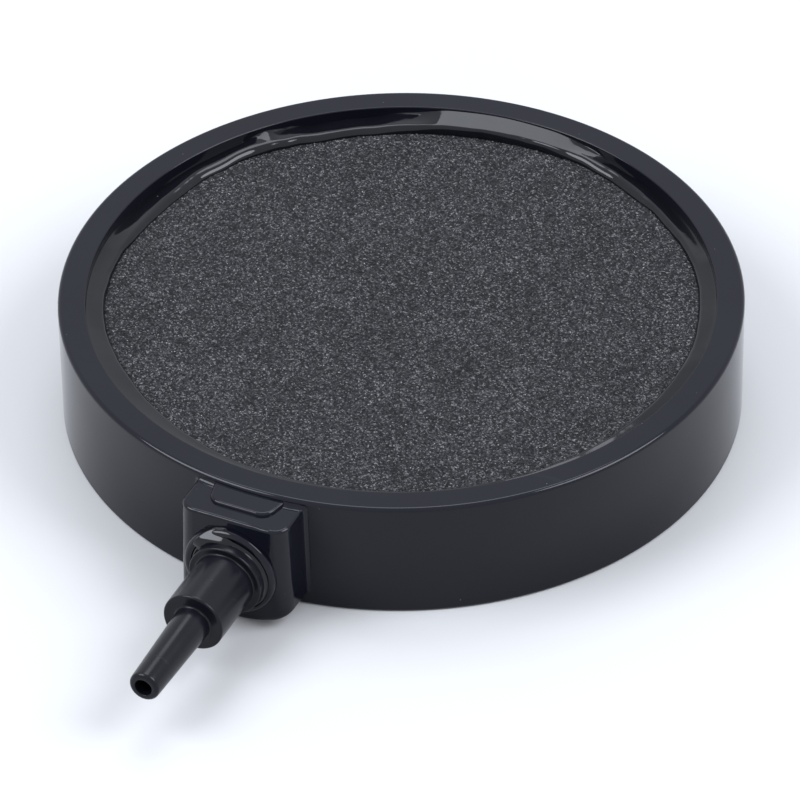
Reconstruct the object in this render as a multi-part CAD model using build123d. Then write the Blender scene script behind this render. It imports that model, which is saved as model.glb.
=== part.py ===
from build123d import *
import os

# Air stone disc, millimetres. Origin at the centre of the casing underside,
# +Z up, the hose nozzle points along -Y.

# --- casing: shallow round cup with a square nozzle boss on one side ---
CASE_R = 53.5            # outer radius at the rim
CASE_BASE_R = 53.37      # outer radius at the foot, a little moulding draft
CASE_H = 20.0            # underside to rim
CASE_INNER_R = 49.15     # inside of the rim
CASE_FLOOR_T = 2.5       # floor thickness
RIM_EDGE_R = 0.65        # outer top edge
RIM_INNER_EDGE_R = 0.2   # inner top edge
FOOT_EDGE_R = 0.5        # outer bottom edge

# --- air chamber below the stone ---
CHAMBER_R = 46.9         # the step out to CASE_INNER_R is the ledge
LEDGE_Z = 11.0           # the stone rests on the ledge at this height
POST_R = 2.2             # posts under the stone
POST_RING_R = 26.0
POST_COUNT = 6

# --- nozzle boss moulded on the casing wall ---
BOSS_TOP_Z = 18.75
BOSS_FRONT = 60.0        # front face, distance from the disc axis
BOSS_W_TOP = 17.8        # width at the top
BOSS_W_BASE = 18.5       # width at the base
BOSS_CORNER_R = 2.6      # upright corners
BOSS_BELLY_R = 18.0      # large radius of the curved boss underside
BOSS_TOP_EDGE_R = 0.5
BOSS_BLEND_R = 0.8       # bottom edges, and where the sides meet the casing wall
BOSS_ROOT = 50.5         # how far in the boss block starts
BOSS_OFFSET_X = -0.3     # boss, shelf and pad sit a little to one side of the nozzle axis

# --- low raised shelf on top of the boss, against the wall ---
SHELF_H = 0.55
SHELF_FRONT = 57.4
SHELF_W_FRONT = 9.8
SHELF_W_WALL = 11.8
SHELF_CORNER_R = 2.4
SHELF_SLOPE = 15.0       # lean of the shelf's sides, degrees from upright
SHELF_EDGE_R = 0.4

# --- round pad on the boss front, and the socket through it ---
NOZZLE_Z = 9.4           # height of the nozzle axis
PAD_R = 7.6
PAD_FRONT = 61.1
PAD_EDGE_R = 0.8
SOCKET_R = 4.4
SOCKET_END = 53.6        # blind end of the socket
AIR_HOLE_R = 1.4         # air bore of the nozzle, and the hole into the chamber

# --- stepped hose nozzle ---
COLLAR_R = 6.0
COLLAR_END = 63.05
COLLAR_EDGE_R = 0.25
BIG_R = 4.92
BIG_END = 73.75
BIG_EDGE_R = 0.3
SMALL_ROOT_R = 2.93
SMALL_LAND_R = 2.62      # short straight land half way along the taper
SMALL_LAND_START = 80.5
SMALL_LAND_END = 83.0
SMALL_END_R = 2.43
TIP_END = 90.2
TIP_EDGE_R = 0.6
STEP_FILLET_R = 0.25     # inner corners at the foot of each step

# --- bonded mineral stone ---
STONE_R = 48.2
STONE_TOP_Z = 17.4
STONE_EDGE_C = 0.3

# --- cured sealant ---
SEAL_INNER_R = 46.2      # how far the bead laps over the stone
SEAL_LAP_T = 0.2         # thickness at the inner lip
SEAL_WALL_Z = 19.3       # how high it wets the casing wall
GLUE_R = 6.5             # ring of glue round the nozzle collar
GLUE_FRONT = 62.2
GLUE_LIP = 0.12


def revolve_profile(points):
    """Solid of revolution about Z from (radius, height) points."""
    outline = Polyline(*[(r, 0, z) for r, z in points], close=True)
    return revolve(make_face(outline), Axis.Z)


def along_nozzle(shape):
    """Turn a shape built along +Z so it lies along -Y on the nozzle axis."""
    return Pos(0, 0, NOZZLE_Z) * Rot(90, 0, 0) * shape


def rounded_plan(width, front, corner_r):
    """Boss outline seen from above, its two front corners rounded."""
    depth = front - BOSS_ROOT
    sheet = Pos(0, -(BOSS_ROOT + depth / 2)) * Rectangle(width, depth)
    corners = sheet.vertices().sort_by(Axis.Y)[:2]
    return fillet(corners, corner_r)


def make_boss():
    base = rounded_plan(BOSS_W_BASE, BOSS_FRONT + 0.1, BOSS_CORNER_R)
    top = rounded_plan(BOSS_W_TOP, BOSS_FRONT - 0.05, BOSS_CORNER_R)
    block = loft([base, Pos(0, 0, BOSS_TOP_Z) * top], ruled=True)
    belly = Pos(0, -56, BOSS_BELLY_R) * Rot(90, 0, 0) * Cylinder(BOSS_BELLY_R, 30)
    upper = Pos(0, -56, BOSS_BELLY_R) * Box(60, 30, 2 * BOSS_BELLY_R, align=(
        Align.CENTER, Align.CENTER, Align.MIN))
    block = block & (belly + upper)
    top_edges = block.faces().sort_by(Axis.Z)[-1].edges()
    outer_top = [e for e in top_edges if e.center().Y < -BOSS_ROOT - 0.5]
    return fillet(outer_top, BOSS_TOP_EDGE_R)


def make_shelf():
    outline = Polyline(
        (-SHELF_W_WALL / 2, -BOSS_ROOT),
        (-SHELF_W_WALL / 2, -CASE_R),
        (-SHELF_W_FRONT / 2, -SHELF_FRONT),
        (SHELF_W_FRONT / 2, -SHELF_FRONT),
        (SHELF_W_WALL / 2, -CASE_R),
        (SHELF_W_WALL / 2, -BOSS_ROOT),
        close=True,
    )
    sheet = make_face(outline)
    sheet = fillet(sheet.vertices().sort_by(Axis.Y)[:2], SHELF_CORNER_R)
    shelf = extrude(sheet, SHELF_H, taper=SHELF_SLOPE)
    shelf = fillet(shelf.faces().sort_by(Axis.Z)[-1].edges(), SHELF_EDGE_R)
    root = extrude(sheet, -0.5)
    return Pos(0, 0, BOSS_TOP_Z) * (shelf + root)


def make_pad():
    pad = Cylinder(PAD_R, PAD_FRONT - BOSS_FRONT + 2, align=(
        Align.CENTER, Align.CENTER, Align.MIN))
    pad = fillet(pad.faces().sort_by(Axis.Z)[-1].edges(), PAD_EDGE_R)
    return along_nozzle(Pos(0, 0, BOSS_FRONT - 2) * pad)


def make_casing():
    body = revolve_profile([(0, 0), (CASE_BASE_R, 0), (CASE_R, CASE_H), (0, CASE_H)])
    body = fillet(body.edges().filter_by(GeomType.CIRCLE).sort_by(Axis.Z)[-1], RIM_EDGE_R)
    foot = body.edges().filter_by(GeomType.CIRCLE).sort_by(Axis.Z)[0]
    body = fillet(foot, FOOT_EDGE_R)
    body = body + Pos(BOSS_OFFSET_X, 0, 0) * make_boss()
    junctions = [e for e in body.edges()
                 if e.length > 12 and abs(abs(e.center().X - BOSS_OFFSET_X) - BOSS_W_BASE / 2) < 0.6
                 and -CASE_R < e.center().Y < -BOSS_ROOT]
    belly_edges = [e for e in body.edges() if e.center().Z < 3 and e.center().Y < -54]
    body = fillet(junctions + belly_edges, BOSS_BLEND_R)
    body = body + Pos(BOSS_OFFSET_X, 0, 0) * (make_shelf() + make_pad())
    cavity = revolve_profile([
        (0, CASE_FLOOR_T),
        (CHAMBER_R, CASE_FLOOR_T),
        (CHAMBER_R, LEDGE_Z),
        (CASE_INNER_R, LEDGE_Z),
        (CASE_INNER_R, CASE_H + 1),
        (0, CASE_H + 1),
    ])
    body = body - cavity
    rim = [e for e in body.edges().filter_by(GeomType.CIRCLE)
           if abs(e.radius - CASE_INNER_R) < 0.01 and abs(e.center().Z - CASE_H) < 0.01]
    body = fillet(rim, RIM_INNER_EDGE_R)
    post = Cylinder(POST_R, LEDGE_Z - 1, align=(Align.CENTER, Align.CENTER, Align.MIN))
    body = body + Pos(0, 0, 1) * post
    for k in range(POST_COUNT):
        spin = Rot(0, 0, 360 * (k + 0.5) / POST_COUNT)
        body = body + spin * Pos(POST_RING_R, 0, 1) * post
    socket = Pos(0, 0, SOCKET_END) * Cylinder(SOCKET_R, 12, align=(
        Align.CENTER, Align.CENTER, Align.MIN))
    air_hole = Pos(0, 0, CHAMBER_R - 3) * Cylinder(AIR_HOLE_R, 12, align=(
        Align.CENTER, Align.CENTER, Align.MIN))
    return body - along_nozzle(socket) - along_nozzle(air_hole)


def make_nozzle():
    outer = revolve_profile([
        (0, SOCKET_END),
        (SOCKET_R, SOCKET_END),
        (SOCKET_R, PAD_FRONT),
        (COLLAR_R, PAD_FRONT),
        (COLLAR_R, COLLAR_END),
        (BIG_R, COLLAR_END),
        (BIG_R, BIG_END),
        (SMALL_ROOT_R, BIG_END),
        (SMALL_LAND_R, SMALL_LAND_START),
        (SMALL_LAND_R, SMALL_LAND_END),
        (SMALL_END_R, TIP_END),
        (0, TIP_END),
    ])

    def ring(radius, height):
        return [e for e in outer.edges().filter_by(GeomType.CIRCLE)
                if abs(e.radius - radius) < 0.01 and abs(e.center().Z - height) < 0.01]

    outer = fillet(ring(COLLAR_R, COLLAR_END), COLLAR_EDGE_R)
    outer = fillet(ring(BIG_R, COLLAR_END), STEP_FILLET_R)
    outer = fillet(ring(BIG_R, BIG_END), BIG_EDGE_R)
    outer = fillet(ring(SMALL_ROOT_R, BIG_END), STEP_FILLET_R)
    outer = fillet(ring(SMALL_END_R, TIP_END), TIP_EDGE_R)
    bore = Pos(0, 0, SOCKET_END - 1) * Cylinder(AIR_HOLE_R, 60, align=(
        Align.CENTER, Align.CENTER, Align.MIN))
    return along_nozzle(outer - bore)


def make_stone():
    stone = Cylinder(STONE_R, STONE_TOP_Z - LEDGE_Z, align=(
        Align.CENTER, Align.CENTER, Align.MIN))
    stone = chamfer(stone.faces().sort_by(Axis.Z)[-1].edges(), STONE_EDGE_C)
    return Pos(0, 0, LEDGE_Z) * stone


def make_stone_sealant():
    lip = (SEAL_INNER_R, STONE_TOP_Z + SEAL_LAP_T)
    low = (SEAL_INNER_R + 1.7, STONE_TOP_Z + 0.55)
    wall = (CASE_INNER_R, SEAL_WALL_Z)
    outline = Polyline(
        (wall[0], 0, wall[1]),
        (CASE_INNER_R, 0, LEDGE_Z),
        (STONE_R, 0, LEDGE_Z),
        (STONE_R, 0, STONE_TOP_Z - STONE_EDGE_C),
        (STONE_R - STONE_EDGE_C, 0, STONE_TOP_Z),
        (SEAL_INNER_R, 0, STONE_TOP_Z),
        (lip[0], 0, lip[1]),
    )
    meniscus = ThreePointArc((lip[0], 0, lip[1]), (low[0], 0, low[1]), (wall[0], 0, wall[1]))
    return revolve(make_face(outline + meniscus), Axis.Z)


def make_nozzle_sealant():
    outline = Polyline(
        (GLUE_R, 0, PAD_FRONT + GLUE_LIP),
        (GLUE_R, 0, PAD_FRONT),
        (COLLAR_R, 0, PAD_FRONT),
        (COLLAR_R, 0, GLUE_FRONT),
        (COLLAR_R + GLUE_LIP, 0, GLUE_FRONT),
    )
    hollow = ThreePointArc(
        (COLLAR_R + GLUE_LIP, 0, GLUE_FRONT),
        (COLLAR_R + 0.38, 0, PAD_FRONT + 0.42),
        (GLUE_R, 0, PAD_FRONT + GLUE_LIP),
    )
    return along_nozzle(revolve(make_face(outline + hollow), Axis.Z))


PARTS = {
    "casing": make_casing,
    "stone_disc": make_stone,
    "stone_sealant": make_stone_sealant,
    "inlet_nozzle": make_nozzle,
    "nozzle_sealant": make_nozzle_sealant,
}

os.makedirs("parts", exist_ok=True)
for name, maker in PARTS.items():
    solid = maker()
    solid.label = name
    export_step(solid, f"parts/{name}.step")
    size = solid.bounding_box().size
    print(f"{name}: {size.X:.2f} x {size.Y:.2f} x {size.Z:.2f}, {solid.volume:.1f} mm3")
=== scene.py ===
"""Looks of the air stone disc: a moulded cup, a bonded mineral disc, two beads of cured sealant and a
stepped hose nozzle, on a pale floor under soft light. Blender works in metres. Outlines are worked out
in millimetres and multiplied by MM."""
import math

import bmesh
import bpy
import numpy as np
from mathutils import Matrix, Vector, noise


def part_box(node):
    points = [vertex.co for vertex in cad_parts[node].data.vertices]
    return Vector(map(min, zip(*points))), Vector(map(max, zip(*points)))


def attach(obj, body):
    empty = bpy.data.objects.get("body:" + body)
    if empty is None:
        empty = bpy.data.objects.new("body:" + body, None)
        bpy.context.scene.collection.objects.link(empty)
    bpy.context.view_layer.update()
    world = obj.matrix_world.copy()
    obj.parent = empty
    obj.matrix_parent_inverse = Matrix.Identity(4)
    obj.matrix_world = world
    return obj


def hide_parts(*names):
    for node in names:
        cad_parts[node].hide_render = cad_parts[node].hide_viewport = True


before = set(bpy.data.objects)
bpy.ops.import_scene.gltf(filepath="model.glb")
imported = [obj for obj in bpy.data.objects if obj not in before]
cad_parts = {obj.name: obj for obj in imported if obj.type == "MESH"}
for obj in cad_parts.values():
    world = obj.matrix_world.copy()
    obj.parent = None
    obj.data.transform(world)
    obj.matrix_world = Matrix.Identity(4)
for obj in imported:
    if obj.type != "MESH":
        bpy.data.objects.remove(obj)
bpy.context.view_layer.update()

MM = 0.001

# ---------------------------------------------------------------- sizes read from the CAD frame, metres
STONE_LOW, STONE_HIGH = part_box("stone_disc")
CASING_LOW, CASING_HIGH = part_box("casing")
SEALANT_LOW, SEALANT_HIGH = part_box("stone_sealant")
BEAD_LOW, BEAD_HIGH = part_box("nozzle_sealant")
STONE_R = STONE_HIGH.x
STONE_TOP = STONE_HIGH.z
STONE_BASE = STONE_LOW.z
RIM_TOP = CASING_HIGH.z
WALL_INNER_R = SEALANT_HIGH.x
NOZZLE_AXIS_Z = 0.5 * (BEAD_LOW.z + BEAD_HIGH.z)
PAD_FACE_Y = BEAD_HIGH.y
NOZZLE_TIP_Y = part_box("inlet_nozzle")[0].y
NOZZLE_SEAT_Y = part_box("inlet_nozzle")[1].y

# ---------------------------------------------------------------- other sizes of the object, millimetres
WALL_R = CASING_HIGH.x / MM    # outside of the cup just under the rim
DRAFT = 0.0065                 # lean of the outer wall, radius lost per height
FOOT_R = 0.50                  # radius of the outer bottom edge
RIM_EDGE_R = 0.65
RIM_INNER_EDGE_R = 0.20
BOSS_MIDDLE = -0.3             # x of the middle of the boss and the pad
BOSS_CORE_HALF_W = 7.0         # a block well inside the boss, where the turned wall is left out
BOSS_CORE_LOW = 2.5
BOSS_CORE_HIGH = 17.5
BOSS_CORE_R = 53.0
PAD_R = 7.6
PAD_EDGE_R = 0.8
PAD_PROUD = 1.1                # how far the pad stands out of the boss
COLLAR_R = 6.0
COLLAR_END = 63.05             # distances along the nozzle are measured from the disc's axis
COLLAR_EDGE_R = 0.25
SPIGOT_R = 4.4
BIG_R = 4.92
BIG_END = 73.75
BIG_EDGE_R = 0.3
SMALL_ROOT_R = 2.93
SMALL_END_R = 2.43
TIP_EDGE_R = 0.62
BORE_R = 1.4
BORE_EDGE_R = 0.12

# azimuth of the viewpoint in degrees, measured from -Y towards +X
VIEW_AZIMUTH = 25.6


# ---------------------------------------------------------------- camera, floor and light
def make_camera():
    """A long lens that looks down at the disc from the nozzle's side, turned a little towards +X."""
    elevation = math.radians(37.88)
    azimuth = math.radians(VIEW_AZIMUTH)
    roll = math.radians(0.78)
    distance = 1.1572
    frame_width_mm, lens_mm = 36.0, 332.64
    aim = Vector((0.0, 0.0, 0.5 * RIM_TOP))
    # how far the lens is turned away from the aim, as a share of the distance
    turned_left, turned_down = 0.00024351, 0.0076163
    outward = Vector((math.sin(azimuth) * math.cos(elevation),
                      -math.cos(azimuth) * math.cos(elevation),
                      math.sin(elevation)))
    forward = -outward
    right = forward.cross(Vector((0.0, 0.0, 1.0))).normalized()
    up = right.cross(forward)
    right, up = (right * math.cos(roll) - up * math.sin(roll),
                 up * math.cos(roll) + right * math.sin(roll))
    forward = (forward - right * turned_left - up * turned_down).normalized()
    right = forward.cross(up).normalized()
    up = right.cross(forward)
    data = bpy.data.cameras.new("view_camera")
    data.sensor_width = frame_width_mm
    data.lens = lens_mm
    data.clip_start = 0.05
    data.clip_end = 50.0
    data.dof.use_dof = False
    camera = bpy.data.objects.new("view_camera", data)
    turn = Matrix((right, up, -forward)).transposed().to_4x4()
    camera.matrix_world = Matrix.Translation(aim + outward * distance) @ turn
    bpy.context.scene.collection.objects.link(camera)
    bpy.context.scene.camera = camera


def area_light(name, tilt, azimuth, distance, size, radiance):
    """A round softbox facing the disc. Tilt is from straight up; azimuth is seen from above, with 0
    at the viewer's right and 90 at the back."""
    turn = math.radians(azimuth + VIEW_AZIMUTH)
    lean = math.radians(tilt)
    toward = Vector((math.sin(lean) * math.cos(turn), math.sin(lean) * math.sin(turn), math.cos(lean)))
    data = bpy.data.lights.new(name, "AREA")
    data.shape = "DISK"
    data.size = size
    data.energy = radiance * math.pi * math.pi * (0.5 * size) ** 2
    data.color = (0.93, 0.97, 1.06)
    lamp = bpy.data.objects.new(name, data)
    lamp.location = toward * distance
    lamp.rotation_euler = toward.to_track_quat("Z", "Y").to_euler()
    bpy.context.scene.collection.objects.link(lamp)


def make_studio():
    """An even bright sky and three softboxes: one high at the back and one on each side."""
    scene = bpy.context.scene
    scene.view_settings.view_transform = "Standard"
    world = bpy.data.worlds.new("studio")
    world.use_nodes = True
    background = world.node_tree.nodes["Background"]
    background.inputs["Color"].default_value = (0.955, 0.985, 1.04, 1.0)
    background.inputs["Strength"].default_value = 1.0
    scene.world = world
    area_light("overhead", 26.0, 88.0, 1.0, 0.50, 4.0)
    area_light("right_softbox", 42.0, -12.6, 1.0, 0.60, 8.0)
    area_light("left_softbox", 42.0, 192.6, 1.0, 0.60, 8.0)


# ---------------------------------------------------------------- material helpers
class Shader:
    """Short calls for building one procedural material."""

    def __init__(self, name):
        self.material = bpy.data.materials.new(name)
        self.material.use_nodes = True
        self.tree = self.material.node_tree
        self.bsdf = self.tree.nodes["Principled BSDF"]
        self.place = self.node("ShaderNodeTexCoord").outputs["Object"]

    def node(self, kind, **settings):
        made = self.tree.nodes.new(kind)
        for key, value in settings.items():
            setattr(made, key, value)
        return made

    def feed(self, socket, value):
        """Links a socket to a node's output, or sets a plain value on it."""
        if isinstance(value, bpy.types.NodeSocket):
            self.tree.links.new(value, socket)
        else:
            socket.default_value = value

    def stretch(self, scale):
        made = self.node("ShaderNodeMapping")
        self.feed(made.inputs["Vector"], self.place)
        made.inputs["Scale"].default_value = scale
        return made.outputs["Vector"]

    def noise(self, scale, detail=2.0, rough=0.5, place=None, distortion=0.0):
        made = self.node("ShaderNodeTexNoise")
        self.feed(made.inputs["Vector"], place or self.place)
        made.inputs["Scale"].default_value = scale
        made.inputs["Detail"].default_value = detail
        made.inputs["Roughness"].default_value = rough
        made.inputs["Distortion"].default_value = distortion
        return made.outputs["Fac"]

    def voronoi(self, scale, output="Distance", place=None):
        made = self.node("ShaderNodeTexVoronoi")
        self.feed(made.inputs["Vector"], place or self.place)
        made.inputs["Scale"].default_value = scale
        return made.outputs[output]

    def math(self, operation, a, b=0.0, clamp=False):
        made = self.node("ShaderNodeMath", operation=operation, use_clamp=clamp)
        self.feed(made.inputs[0], a)
        self.feed(made.inputs[1], b)
        return made.outputs[0]

    def spread(self, value, low, high, to_low, to_high):
        """Maps low..high to to_low..to_high and holds the ends."""
        made = self.node("ShaderNodeMapRange", clamp=True)
        self.feed(made.inputs["Value"], value)
        made.inputs["From Min"].default_value = low
        made.inputs["From Max"].default_value = high
        made.inputs["To Min"].default_value = to_low
        made.inputs["To Max"].default_value = to_high
        return made.outputs["Result"]

    def ramp(self, value, stops):
        made = self.node("ShaderNodeValToRGB")
        while len(made.color_ramp.elements) < len(stops):
            made.color_ramp.elements.new(0.5)
        for element, (position, colour) in zip(made.color_ramp.elements, stops):
            element.position = position
            element.color = (*colour, 1.0)
        self.feed(made.inputs["Fac"], value)
        return made.outputs["Color"]

    def channel(self, colour, which=0):
        made = self.node("ShaderNodeSeparateColor")
        self.feed(made.inputs["Color"], colour)
        return made.outputs[which]

    def mix(self, factor, a, b, blend="MIX"):
        made = self.node("ShaderNodeMix", data_type="RGBA", blend_type=blend)
        self.feed(made.inputs["Factor"], factor)
        self.feed(made.inputs[6], a)
        self.feed(made.inputs[7], b)
        return made.outputs[2]

    def bump(self, height, strength, distance, below=None):
        made = self.node("ShaderNodeBump")
        made.inputs["Strength"].default_value = strength
        made.inputs["Distance"].default_value = distance
        self.feed(made.inputs["Height"], height)
        if below is not None:
            self.feed(made.inputs["Normal"], below)
        return made.outputs["Normal"]

    def specks(self, scale, size, share):
        """A mask of small scattered spots: one in each Voronoi cell, kept for a share of the cells."""
        distance = self.voronoi(scale)
        chance = self.channel(self.voronoi(scale, "Color"))
        kept = self.math("LESS_THAN", chance, share)
        spot = self.spread(distance, size * 0.6, size, 1.0, 0.0)
        return self.math("MULTIPLY", kept, spot)


def moulded_plastic(name, dark, light, gloss_low, gloss_high, ior, speck_share):
    """Black injection-moulded plastic: nearly even colour, faint flow waviness, hairline scratches, dust."""
    s = Shader(name)
    cloud = s.noise(45.0, 4.0, 0.6)
    colour = s.ramp(cloud, [(0.30, dark), (0.70, light)])
    dust = s.specks(330.0, 0.028, speck_share)
    lint = s.specks(1100.0, 0.05, speck_share * 0.45)
    dirt = s.math("MAXIMUM", dust, lint)
    s.feed(s.bsdf.inputs["Base Color"], s.mix(dirt, colour, (0.33, 0.34, 0.36, 1.0)))
    hairline_a = s.noise(260.0, 2.0, 0.5, s.stretch((1.0, 0.03, 0.6)))
    hairline_b = s.noise(300.0, 2.0, 0.5, s.stretch((0.05, 1.0, 0.5)))
    scratch = s.math("MAXIMUM", s.spread(hairline_a, 0.70, 0.76, 0.0, 1.0),
                     s.spread(hairline_b, 0.71, 0.77, 0.0, 1.0))
    smear = s.noise(110.0, 5.0, 0.65, None, 0.4)
    gloss = s.spread(smear, 0.35, 0.72, gloss_low, gloss_high)
    gloss = s.math("ADD", gloss, s.math("MULTIPLY", scratch, 0.10))
    gloss = s.math("ADD", gloss, s.math("MULTIPLY", dirt, 0.5), True)
    s.feed(s.bsdf.inputs["Roughness"], gloss)
    s.bsdf.inputs["IOR"].default_value = ior
    wave = s.bump(s.noise(150.0, 2.0, 0.4), 0.10, 0.0001)
    grain = s.bump(s.noise(2600.0, 2.0, 0.5), 0.03, 0.00003, wave)
    marks = s.bump(scratch, 0.08, 0.00001, grain)
    relief = s.bump(dirt, 0.5, 0.00003, marks)
    s.feed(s.bsdf.inputs["Normal"], relief)
    return s.material


def bonded_mineral(name):
    """Crushed mineral in a thin binder: dark grey grains with lighter ones among them, and pores between
    them whose darkness is painted shade.
    """
    s = Shader(name)
    warp = s.node("ShaderNodeTexNoise")
    s.feed(warp.inputs["Vector"], s.place)
    warp.inputs["Scale"].default_value = 2600.0
    shift = s.node("ShaderNodeVectorMath", operation="SCALE")
    s.feed(shift.inputs[0], warp.outputs["Color"])
    shift.inputs["Scale"].default_value = 0.00010
    moved = s.node("ShaderNodeVectorMath", operation="ADD")
    s.feed(moved.inputs[0], s.place)
    s.feed(moved.inputs[1], shift.outputs[0])
    place = moved.outputs[0]
    coarse_scale = 3900.0
    coarse = s.channel(s.voronoi(coarse_scale, "Color", place))
    fine = s.channel(s.voronoi(7000.0, "Color", place), 1)
    grain = s.math("ADD", s.math("MULTIPLY", coarse, 0.62), s.math("MULTIPLY", fine, 0.38))
    colour = s.ramp(grain, [(0.12, (0.002, 0.002, 0.0028)), (0.40, (0.0095, 0.0098, 0.0112)),
                            (0.64, (0.0225, 0.0228, 0.0248)), (0.82, (0.066, 0.066, 0.069)),
                            (0.94, (0.165, 0.164, 0.166))])
    tone = s.spread(s.noise(70.0, 5.0, 0.6), 0.3, 0.7, 0.84, 1.14)
    shade = s.mix(1.0, colour, tone, "MULTIPLY")
    # painted shade: a noise mask of pores darkened in the colour, standing in for the shade inside the holes
    pore_shade_mask = s.spread(s.noise(1900.0, 3.0, 0.6), 0.62, 0.70, 0.0, 1.0)
    colour = s.mix(pore_shade_mask, shade, (0.006, 0.006, 0.008, 1.0))
    crystal = s.specks(2400.0, 0.22, 0.020)
    colour = s.mix(crystal, colour, (0.34, 0.345, 0.36, 1.0))
    s.feed(s.bsdf.inputs["Base Color"], colour)
    gloss = s.spread(fine, 0.0, 1.0, 0.55, 0.95)
    gloss = s.math("SUBTRACT", gloss, s.math("MULTIPLY", crystal, 0.3), True)
    s.feed(s.bsdf.inputs["Roughness"], gloss)
    s.bsdf.inputs["IOR"].default_value = 1.38
    s.bsdf.inputs["Specular IOR Level"].default_value = 0.22
    edge = s.voronoi(coarse_scale, "Distance", place)
    rough = s.bump(s.noise(5200.0, 3.0, 0.6), 0.45, 0.00006)
    s.feed(s.bsdf.inputs["Normal"], s.bump(s.math("SUBTRACT", 1.0, edge), 0.45, 0.00010, rough))
    return s.material


def cured_glue(name):
    """Glossy black sealant: smooth skin with slow waves, fine dust and a few matt patches."""
    s = Shader(name)
    cloud = s.noise(140.0, 4.0, 0.6)
    colour = s.ramp(cloud, [(0.3, (0.0028, 0.0029, 0.0046)), (0.7, (0.0042, 0.0044, 0.0066))])
    dust = s.specks(700.0, 0.05, 0.05)
    s.feed(s.bsdf.inputs["Base Color"], s.mix(dust, colour, (0.24, 0.24, 0.25, 1.0)))
    gloss = s.spread(s.noise(260.0, 4.0, 0.6), 0.35, 0.75, 0.05, 0.12)
    s.feed(s.bsdf.inputs["Roughness"], s.math("ADD", gloss, s.math("MULTIPLY", dust, 0.5), True))
    s.bsdf.inputs["IOR"].default_value = 1.38
    slow = s.bump(s.noise(420.0, 2.0, 0.5), 0.12, 0.00010)
    s.feed(s.bsdf.inputs["Normal"], s.bump(s.noise(1500.0, 2.0, 0.5), 0.05, 0.00003, slow))
    return s.material


def pale_floor(name):
    """Plain matt grey paper that the lamps light up to white."""
    s = Shader(name)
    cloud = s.noise(9.0, 3.0, 0.5)
    colour = s.ramp(cloud, [(0.3, (0.490, 0.492, 0.496)), (0.7, (0.505, 0.507, 0.511))])
    s.feed(s.bsdf.inputs["Base Color"], colour)
    s.bsdf.inputs["Roughness"].default_value = 0.85
    s.bsdf.inputs["Specular IOR Level"].default_value = 0.1
    return s.material


# ---------------------------------------------------------------- mesh helpers
def add_object(name, points, faces, material):
    """A smooth-shaded mesh object of one material."""
    mesh = bpy.data.meshes.new(name)
    mesh.from_pydata([tuple(p) for p in points], [], faces)
    mesh.validate()
    mesh.polygons.foreach_set("use_smooth", [True] * len(mesh.polygons))
    mesh.materials.append(material)
    made = bpy.data.objects.new(name, mesh)
    bpy.context.scene.collection.objects.link(made)
    mesh.update()
    return made


def make_piece(name, points, faces, material, node):
    """An object that takes the place of one CAD node on the part's only body."""
    piece = add_object(name, points, faces, material)
    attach(piece, "root")
    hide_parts(node)
    return piece


def fix_normals(piece):
    """Turns all faces of a closed piece outwards."""
    work = bmesh.new()
    work.from_mesh(piece.data)
    bmesh.ops.recalc_face_normals(work, faces=work.faces)
    work.to_mesh(piece.data)
    work.free()


def make_floor(material):
    half = 3.0
    cells = 12
    clearance = 0.00002
    points = []
    for j in range(cells + 1):
        for i in range(cells + 1):
            points.append((half * (2.0 * i / cells - 1.0), half * (2.0 * j / cells - 1.0), 0.0))
    faces = []
    for j in range(cells):
        for i in range(cells):
            a = j * (cells + 1) + i
            faces.append((a, a + 1, a + cells + 2, a + cells + 1))
    floor = add_object("floor", points, faces, material)
    floor.location.z = CASING_LOW.z - clearance


def cyclic_keys(keys, azimuth):
    """Smooth closed interpolation through (azimuth, value, ...) keys, for an array of azimuths."""
    keys = sorted(keys)
    at = np.array([k[0] for k in keys])
    values = np.array([k[1:] for k in keys])
    at = np.concatenate([at[-2:] - 360.0, at, at[:2] + 360.0])
    values = np.concatenate([values[-2:], values, values[:2]])
    place = np.searchsorted(at, azimuth, side="right") - 1
    share = (azimuth - at[place]) / (at[place + 1] - at[place])
    share = (share * share * (3.0 - 2.0 * share))[:, None]
    return values[place] * (1.0 - share) + values[place + 1] * share


def ring_faces(rows, turns):
    """Quads of a closed ring: rows of points round it, and turns points in each."""
    faces = []
    for k in range(rows):
        a = k * turns
        b = ((k + 1) % rows) * turns
        for i in range(turns):
            j = (i + 1) % turns
            faces.append((a + i, b + i, b + j, a + j))
    return faces


def wobble(azimuth, count, seed):
    """A closed random wave round the ring, about count bumps in a turn, from -1 to 1."""
    turn = np.radians(azimuth)
    radius = count / 6.0
    out = [noise.noise(Vector((radius * math.cos(t), radius * math.sin(t), seed))) for t in turn]
    return np.array(out) * 1.6


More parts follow.
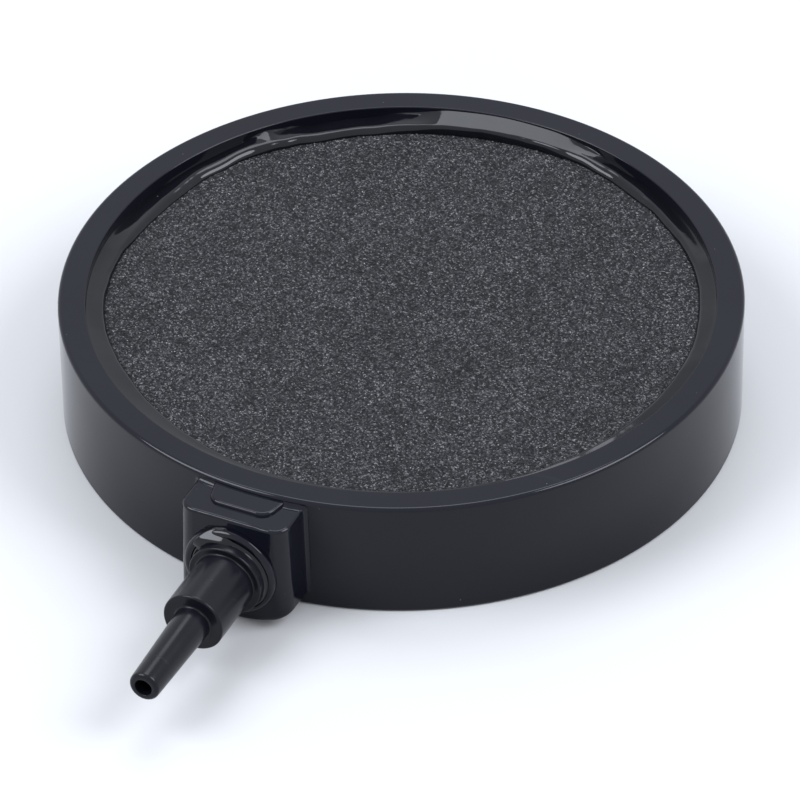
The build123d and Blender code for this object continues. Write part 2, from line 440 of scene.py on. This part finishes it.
# ---------------------------------------------------------------- pieces
def make_stone(material):
    """The porous disc: rings of hexagonal mesh whose points are raised and sunk as single grains."""
    rings = 152
    edge_r = 0.3 * MM
    smooth_from, smooth_over = STONE_R - 0.5 * MM, 1.0 * MM
    step = (STONE_R - edge_r) / rings
    points = [(0.0, 0.0)]
    for k in range(1, rings + 1):
        for i in range(6 * k):
            turn = 2.0 * math.pi * i / (6 * k)
            points.append((k * step * math.cos(turn), k * step * math.sin(turn)))
    flat = np.array(points)
    random = np.random.default_rng(20)
    inner = np.hypot(flat[:, 0], flat[:, 1]) < (rings - 0.5) * step
    scatter = 0.30
    flat[inner] += random.uniform(-scatter, scatter, (int(inner.sum()), 2)) * step
    radius = np.hypot(flat[:, 0], flat[:, 1])
    # relief in millimetres: slow waves, lumps, single grains and a few deeper pits
    wave_height, lump_height, grain_height = 0.030, 0.022, 0.034
    pit_share, pit_depth = 0.03, 0.12
    lowest, highest = -0.22, 0.12
    height = np.zeros(len(flat))
    for i, (x, y) in enumerate(flat):
        spot = Vector((x, y, 0.0))
        wave = noise.noise(spot * 160.0)
        lump = noise.noise(spot * 620.0 + Vector((7.0, 0.0, 3.0)))
        height[i] = wave_height * wave + lump_height * lump
    height += random.normal(0.0, grain_height, len(flat))
    pits = random.random(len(flat)) < pit_share
    height[pits] -= pit_depth
    height = np.clip(height, lowest, highest)
    fade = np.clip((smooth_from - radius) / smooth_over, 0.0, 1.0)
    height = height * fade * MM
    top = np.column_stack([flat, STONE_TOP + height])
    faces = []
    start = [0] + [1 + 3 * k * (k - 1) for k in range(1, rings + 1)]
    for k in range(1, rings + 1):
        outer, count = start[k], 6 * k
        if k == 1:
            for i in range(6):
                faces.append((0, 1 + i, 1 + (i + 1) % 6))
            continue
        under, under_count = start[k - 1], 6 * (k - 1)
        for side in range(6):
            for i in range(k):
                a = outer + side * k + i
                b = outer + (side * k + i + 1) % count
                c = under + (side * (k - 1) + i) % under_count
                faces.append((a, b, c))
                if i < k - 1:
                    d = under + (side * (k - 1) + i + 1) % under_count
                    faces.append((c, b, d))
    edge_start, edge_count = start[rings], 6 * rings
    loops = [list(range(edge_start, edge_start + edge_count))]
    points = [tuple(p) for p in top]
    for radius_now, z_now in ((STONE_R, STONE_TOP - edge_r), (STONE_R, STONE_BASE + edge_r),
                              (STONE_R - edge_r, STONE_BASE)):
        loop = []
        for i in range(edge_count):
            turn = 2.0 * math.pi * i / edge_count
            loop.append(len(points))
            points.append((radius_now * math.cos(turn), radius_now * math.sin(turn), z_now))
        loops.append(loop)
    for upper, lower in zip(loops, loops[1:]):
        for i in range(edge_count):
            j = (i + 1) % edge_count
            faces.append((upper[j], upper[i], lower[i], lower[j]))
    centre = len(points)
    points.append((0.0, 0.0, STONE_BASE))
    for i in range(edge_count):
        faces.append((loops[-1][(i + 1) % edge_count], loops[-1][i], centre))
    return make_piece("porous_stone", points, faces, material, "stone_disc")


# Shape of the bead round the stone. Azimuth is seen from above, with 0 at the viewer's right and 90 at
# the back. The rest are in millimetres: inner radius on the stone, reach and height of the
# rolled crest, height where the bead wets the wall, and dip of the trough between the two.
BEAD_KEYS = [
    (-14.0, 46.20, 0.8, 18.10, 18.50, 0.05),
    (-4.0, 46.30, 0.8, 18.20, 18.65, 0.00),
    (10.0, 46.50, 0.9, 18.25, 18.75, 0.00),
    (18.0, 46.40, 0.9, 18.20, 18.25, 0.10),
    (30.0, 46.20, 1.0, 18.15, 17.85, 0.05),
    (40.0, 46.00, 1.5, 18.35, 18.05, 0.05),
    (46.0, 46.20, 1.5, 18.50, 18.30, 0.05),
    (52.0, 46.30, 1.2, 18.65, 19.20, 0.05),
    (60.0, 46.00, 0.7, 18.90, 19.70, 0.00),
    (70.0, 45.60, 0.6, 19.05, 19.85, 0.00),
    (80.0, 45.50, 0.6, 19.00, 19.75, 0.00),
    (88.0, 45.40, 0.9, 18.75, 19.00, 0.10),
    (96.0, 45.20, 1.2, 18.55, 18.25, 0.05),
    (106.0, 45.20, 1.2, 18.50, 18.20, 0.05),
    (112.0, 45.50, 1.1, 18.65, 18.85, 0.05),
    (116.0, 45.80, 1.1, 18.75, 19.30, 0.00),
    (121.0, 46.00, 1.6, 18.65, 18.50, 0.05),
    (130.0, 45.80, 1.8, 18.45, 18.10, 0.05),
    (142.0, 45.40, 1.6, 18.25, 17.90, 0.05),
    (151.0, 45.30, 1.2, 18.15, 17.95, 0.05),
    (163.0, 46.00, 0.8, 18.15, 18.60, 0.05),
    (180.0, 46.20, 0.6, 18.30, 18.85, 0.00),
    (205.0, 45.40, 0.8, 18.30, 18.85, 0.00),
    (220.0, 45.50, 0.7, 18.20, 18.85, 0.05),
    (238.0, 45.90, 0.5, 17.85, 18.90, 0.20),
    (270.0, 46.10, 0.5, 17.80, 18.90, 0.25),
    (305.0, 46.10, 0.6, 18.00, 18.20, 0.20),
    (325.0, 45.90, 0.8, 18.25, 17.95, 0.05),
    (337.0, 46.00, 0.8, 18.25, 17.95, 0.05),
]


def smoothed(columns, passes):
    """Evens out a run of (radius, height) columns, with its two ends held."""
    for _ in range(passes):
        rounded = [list(column) for column in columns]
        for before, here, after, out in zip(columns, columns[1:], columns[2:], rounded[1:]):
            for axis in (0, 1):
                out[axis] = (before[axis] + 2.0 * here[axis] + after[axis]) / 4.0
        columns = rounded
    return columns


def make_ring_bead(material):
    """The sealant between the stone and the wall: it wets the wall, dips, and rolls over onto the stone."""
    turns = 1080
    azimuth = np.arange(turns) * 360.0 / turns
    seen = (azimuth - VIEW_AZIMUTH) % 360.0
    inner, reach, crest, wet, dip = cyclic_keys([(k[0] % 360.0,) + k[1:] for k in BEAD_KEYS], seen).T
    least_reach, highest_wet = 0.35, RIM_TOP / MM - 0.14
    inner = inner + 0.11 * wobble(azimuth, 60, 1.0) + 0.03 * wobble(azimuth, 170, 2.0)
    crest = crest + 0.05 * wobble(azimuth, 30, 3.0)
    reach = np.maximum(reach + 0.12 * wobble(azimuth, 45, 6.0), least_reach)
    wet = np.minimum(wet + 0.04 * wobble(azimuth, 24, 5.0), highest_wet)
    into_wall, into_stone = 0.02, 0.10
    wall = WALL_INNER_R / MM + into_wall
    top = STONE_TOP / MM
    stone_edge = STONE_R / MM
    base = SEALANT_LOW.z / MM
    crest_r = inner + reach
    # The skin from the wall to the crest is a cubic curve with its middle drawn down into the trough. It
    # leaves the wall sharply where the bead is flat and evenly where it runs down from high on the wall.
    slope = np.clip((wet - crest - 0.30) / 0.35, 0.0, 1.0)
    near = wall + (crest_r - wall) * (0.08 + 0.22 * slope)
    far = wall + (crest_r - wall) * 0.70
    z_near = wet + (crest - wet) * np.where(wet > crest, 0.80 - 0.50 * slope, 0.10) - 1.6 * dip
    z_far = wet + (crest - wet) * np.where(wet > crest, 1.0 - 0.30 * slope, 0.70) - 1.2 * dip
    columns = []
    for share in np.linspace(0.0, 1.0, 17):
        a, b = (1.0 - share) ** 3, 3.0 * share * (1.0 - share) ** 2
        c, d = 3.0 * share ** 2 * (1.0 - share), share ** 3
        columns.append([a * wall + b * near + c * far + d * crest_r,
                        a * wet + b * z_near + c * z_far + d * crest])
    # the rolled lip, a quarter of an ellipse down onto the stone
    drop = crest - top + into_stone
    for turn in np.linspace(0.0, 0.5 * math.pi, 15)[1:]:
        columns.append([inner + reach * (1.0 - math.sin(turn)), crest - drop * (1.0 - math.cos(turn))])
    columns = smoothed(columns, 3)
    # the hidden underside: on the stone, down the gap and back to the wall
    columns.append([inner + 0.30, np.full(turns, top - 0.22)])
    columns.append([np.full(turns, stone_edge - 0.05), np.full(turns, top - 0.30)])
    columns.append([np.full(turns, stone_edge - 0.02), np.full(turns, base)])
    columns.append([np.full(turns, wall), np.full(turns, base)])
    turn = np.radians(azimuth)
    points = []
    for r, z in columns:
        points.extend(np.column_stack([r * np.cos(turn), r * np.sin(turn), z]) * MM)
    faces = ring_faces(len(columns), turns)
    return make_piece("ring_bead", points, faces, material, "stone_sealant")


def make_nozzle_bead(material):
    """The hand-laid sealant where the nozzle's collar meets the pad: a thin hollow fillet all round, and
    a smooth flat-topped blob on the upper left that runs out over the pad's edge."""
    turns = 320
    pad_forward = -PAD_FACE_Y / MM
    boss_forward = pad_forward - PAD_PROUD
    hidden_forward = boss_forward - 0.15
    start_r = COLLAR_R - 0.03
    angle = np.arange(turns) * 2.0 * math.pi / turns
    lumps = np.array([noise.noise(Vector((1.6 * math.cos(t), 1.6 * math.sin(t), 9.0))) for t in angle])
    # the blob: its middle is at blob_at degrees, and it fades to nothing over blob_half each way
    blob_at, blob_half = 114.0, 34.0
    away = (angle - math.radians(blob_at) + math.pi) % (2.0 * math.pi) - math.pi
    blob = np.clip(1.0 - (away / math.radians(blob_half)) ** 2, 0.0, 1.0)
    outer = 6.62 + 0.08 * lumps + 1.20 * blob ** 0.5
    # its face: a slanting plane through a point, rounded to a large radius and capped towards the collar
    face = Vector((-0.104, -0.635, 0.765)).normalized()
    hold = Vector((-2.89, -(pad_forward + 0.22), 6.49))
    face_r = 9.0
    cap = pad_forward + 0.80
    cap_blend = 0.10
    columns = []
    for share in np.linspace(0.0, 1.0, 26):
        r = start_r + (outer - start_r) * share
        x = r * np.cos(angle)
        z = r * np.sin(angle)
        from_pad = np.hypot(x - BOSS_MIDDLE, z)
        edge = np.clip((from_pad - (PAD_R - PAD_EDGE_R)) / PAD_EDGE_R, 0.0, 1.0)
        under = pad_forward - PAD_EDGE_R * (1.0 - np.sqrt(1.0 - edge ** 2))
        under = np.where(from_pad > PAD_R - 0.002, boss_forward, under)
        fade = np.clip(1.0 - (r - start_r) / (0.42 + 0.06 * lumps), 0.0, 1.0)
        fillet = 0.55 * (1.0 - blob) * fade ** 2.0
        slant = -hold.y + (face.x * (x - hold.x) + face.z * (z - hold.z)) / face.y
        slant = slant - ((x - hold.x) ** 2 + (z - hold.z) ** 2) / (2.0 * face_r)
        slant = -cap_blend * np.log(np.exp(-slant / cap_blend) + np.exp(-cap / cap_blend))
        slant = np.where(blob > 0.0, slant - 0.6 * (1.0 - blob) ** 3, 0.0)
        sunk = under - 0.03
        forward = np.maximum(np.maximum(under + fillet, slant), sunk)
        columns.append([r, np.where(share > 0.97, sunk, forward)])
    columns.append([outer, np.full(turns, hidden_forward)])
    columns.append([np.full(turns, COLLAR_R - 0.08), np.full(turns, hidden_forward)])
    points = []
    for r, forward in columns:
        points.extend(np.column_stack([r * MM * np.cos(angle), -forward * MM,
                                       NOZZLE_AXIS_Z + r * MM * np.sin(angle)]))
    faces = ring_faces(len(columns), turns)
    return make_piece("nozzle_bead", points, faces, material, "nozzle_sealant")


def quarter(centre_r, centre_z, radius, start, steps):
    """Rows of a rounded edge over 90 degrees from the start angle, in the form of turned_profile."""
    rows = []
    for turn in np.radians(np.linspace(start, start + 90.0, steps + 1)):
        across, up = math.cos(turn), math.sin(turn)
        rows.append((centre_r + radius * across, centre_z + radius * up, across, up))
    return rows


def wall_radius(height):
    """Outer radius of the drafted wall at a height."""
    return WALL_R - DRAFT * (RIM_TOP / MM - height)


def turned_profile():
    """The turned part of the cup's outline from its foot up the outside, over the rim and down the inner
    wall: rows of (radius, height, normal outward, normal up) in millimetres."""
    rim, inner = RIM_TOP / MM, WALL_INNER_R / MM
    rows = quarter(wall_radius(FOOT_R) - FOOT_R, FOOT_R, FOOT_R, -90.0, 8)
    for height in np.linspace(FOOT_R, rim - RIM_EDGE_R, 12)[1:-1]:
        rows.append((wall_radius(height), height, 1.0, -DRAFT))
    rows += quarter(WALL_R - RIM_EDGE_R, rim - RIM_EDGE_R, RIM_EDGE_R, 0.0, 16)
    rows += quarter(inner + RIM_INNER_EDGE_R, rim - RIM_INNER_EDGE_R, RIM_INNER_EDGE_R, 90.0, 8)
    rows.append((inner, STONE_BASE / MM, -1.0, 0.0))
    return rows


def is_turned(mesh, face):
    """Whether a face of the CAD casing lies on the turned outline."""
    near, near_wall = 0.01, 0.02
    rim, inner = RIM_TOP / MM, WALL_INNER_R / MM
    corners = [mesh.vertices[i].co for i in face.vertices]
    spots = [(math.hypot(co.x, co.y) / MM, co.z / MM) for co in corners]
    if all(z > rim - RIM_EDGE_R - near and r > inner - near for r, z in spots):
        return True
    if all(z > STONE_BASE / MM - near and abs(r - inner) < near for r, z in spots):
        return face.area > 0.0 and abs(face.normal.z) < 0.5
    foot_centre = wall_radius(FOOT_R) - FOOT_R
    for r, z in spots:
        on_wall = z > FOOT_R - near and abs(r - wall_radius(z)) < near_wall
        off_foot = math.hypot(r - foot_centre, z - FOOT_R) - FOOT_R
        on_foot = z < FOOT_R + near and abs(off_foot) < near_wall
        if not on_wall and not on_foot:
            return False
    return not all(z < 0.1 * near for r, z in spots)


def in_boss(x, y, low, high):
    """Whether a face of the outer wall is hidden inside the boss, where the nozzle's socket is."""
    beside = y < 0.0 and abs(x - BOSS_MIDDLE) < BOSS_CORE_HALF_W and math.hypot(x, y) > BOSS_CORE_R
    return beside and low > BOSS_CORE_LOW and high < BOSS_CORE_HIGH


def make_casing(material):
    """The moulded cup: the boss, floor, ledge and posts of the CAD casing, with its wall and rim turned
    anew in fine steps so that they are truly round and shade evenly."""
    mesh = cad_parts["casing"].data
    places = {}
    points, faces, normals = [], [], []
    for face in mesh.polygons:
        if is_turned(mesh, face):
            continue
        ring = []
        for index, corner in zip(face.vertices, face.loop_indices):
            if index not in places:
                places[index] = len(points)
                points.append(tuple(mesh.vertices[index].co))
            ring.append(places[index])
            normals.append(Vector(mesh.corner_normals[corner].vector))
        faces.append(ring)
    rows = turned_profile()
    turns = 1440
    angle = np.arange(turns) * 2.0 * math.pi / turns
    first = len(points)
    for radius, height, _, _ in rows:
        points.extend(np.column_stack([radius * MM * np.cos(angle), radius * MM * np.sin(angle),
                                       np.full(turns, height * MM)]))
    for k in range(len(rows) - 1):
        low, high = rows[k], rows[k + 1]
        for i in range(turns):
            j = (i + 1) % turns
            if in_boss(low[0] * math.cos(angle[i]), low[0] * math.sin(angle[i]), low[1], high[1]):
                continue
            a, b = first + k * turns, first + (k + 1) * turns
            faces.append([a + i, a + j, b + j, b + i])
            for (_, _, across, up), step in ((low, i), (low, j), (high, j), (high, i)):
                normal = Vector((across * math.cos(angle[step]), across * math.sin(angle[step]), up))
                normals.append(normal.normalized())
    casing = make_piece("casing_shell", points, faces, material, "casing")
    casing.data.normals_split_custom_set(normals)
    return casing


def rounded_edge(edge_r, edge_forward, radius, start, end, steps):
    """Points (radius, forward) of a rounded outer edge whose square corner would be at edge_r and
    edge_forward; angles are in degrees from the outward direction."""
    out = []
    centre_r, centre_forward = edge_r - radius, edge_forward - radius
    for k in range(steps + 1):
        turn = math.radians(start + (end - start) * k / steps)
        out.append((centre_r + radius * math.cos(turn), centre_forward + radius * math.sin(turn)))
    return out


def root_fillet(root_r, root_forward, radius):
    """Points (radius, forward) of the hollow where a thinner step grows out of a flat face."""
    return [(root_r + radius - radius * math.sin(turn), root_forward + radius - radius * math.cos(turn))
            for turn in np.linspace(0.0, 0.5 * math.pi, 6)]


def make_nozzle(material):
    """The stepped hose nozzle as one turned piece: spigot, collar, large step, tapered small step, bore."""
    turns = 160
    tip = -NOZZLE_TIP_Y / MM
    seat = -NOZZLE_SEAT_Y / MM
    pad = -PAD_FACE_Y / MM
    # short flats beside the edges keep the shading of the long faces even
    flat, long_flat = 0.7, 0.6
    outline = [(BORE_R, seat), (SPIGOT_R, seat), (SPIGOT_R, pad), (COLLAR_R, pad), (COLLAR_R, pad + 0.3)]
    outline += rounded_edge(COLLAR_R, COLLAR_END, COLLAR_EDGE_R, 0.0, 90.0, 7)
    outline += [(BIG_R + flat, COLLAR_END)]
    outline += root_fillet(BIG_R, COLLAR_END, COLLAR_EDGE_R)
    outline += [(BIG_R, COLLAR_END + long_flat), (BIG_R, BIG_END - long_flat)]
    outline += rounded_edge(BIG_R, BIG_END, BIG_EDGE_R, 0.0, 90.0, 8)
    outline += [(BIG_R - flat, BIG_END)]
    outline += root_fillet(SMALL_ROOT_R, BIG_END, BIG_EDGE_R)
    taper, length = SMALL_END_R - SMALL_ROOT_R, tip - BIG_END
    for share in np.linspace(0.04, 0.92, 12):
        outline.append((SMALL_ROOT_R + taper * share, BIG_END + length * share))
    outline += rounded_edge(SMALL_END_R, tip, TIP_EDGE_R, 2.0, 90.0, 10)
    outline += rounded_edge(BORE_R + 2.0 * BORE_EDGE_R, tip, BORE_EDGE_R, 90.0, 180.0, 4)
    outline += [(BORE_R, tip - 1.0), (BORE_R, BIG_END), (BORE_R, pad)]
    points = []
    for r, forward in outline:
        for i in range(turns):
            turn = 2.0 * math.pi * i / turns
            points.append((r * MM * math.cos(turn), -forward * MM, NOZZLE_AXIS_Z + r * MM * math.sin(turn)))
    faces = ring_faces(len(outline), turns)
    nozzle = make_piece("hose_nozzle", points, faces, material, "inlet_nozzle")
    fix_normals(nozzle)
    nozzle.data.set_sharp_from_angle(angle=math.radians(40.0))
    weighted = nozzle.modifiers.new("even_shading", "WEIGHTED_NORMAL")
    weighted.keep_sharp = True
    return nozzle


# ---------------------------------------------------------------- build
make_camera()
make_studio()
make_floor(pale_floor("pale_floor"))

casing_plastic = moulded_plastic("glossy_black_plastic", dark=(0.0034, 0.0037, 0.0072),
                                 light=(0.0044, 0.0049, 0.0090), gloss_low=0.045, gloss_high=0.10,
                                 ior=1.33, speck_share=0.10)
nozzle_plastic = moulded_plastic("satin_black_plastic", dark=(0.0036, 0.0038, 0.0060),
                                 light=(0.0048, 0.0050, 0.0078), gloss_low=0.19, gloss_high=0.27,
                                 ior=1.29, speck_share=0.12)
glue = cured_glue("black_sealant")

make_casing(casing_plastic)
make_nozzle(nozzle_plastic)
for built in (make_stone(bonded_mineral("bonded_grey_stone")), make_ring_bead(glue), make_nozzle_bead(glue)):
    fix_normals(built)

bpy.context.view_layer.update()
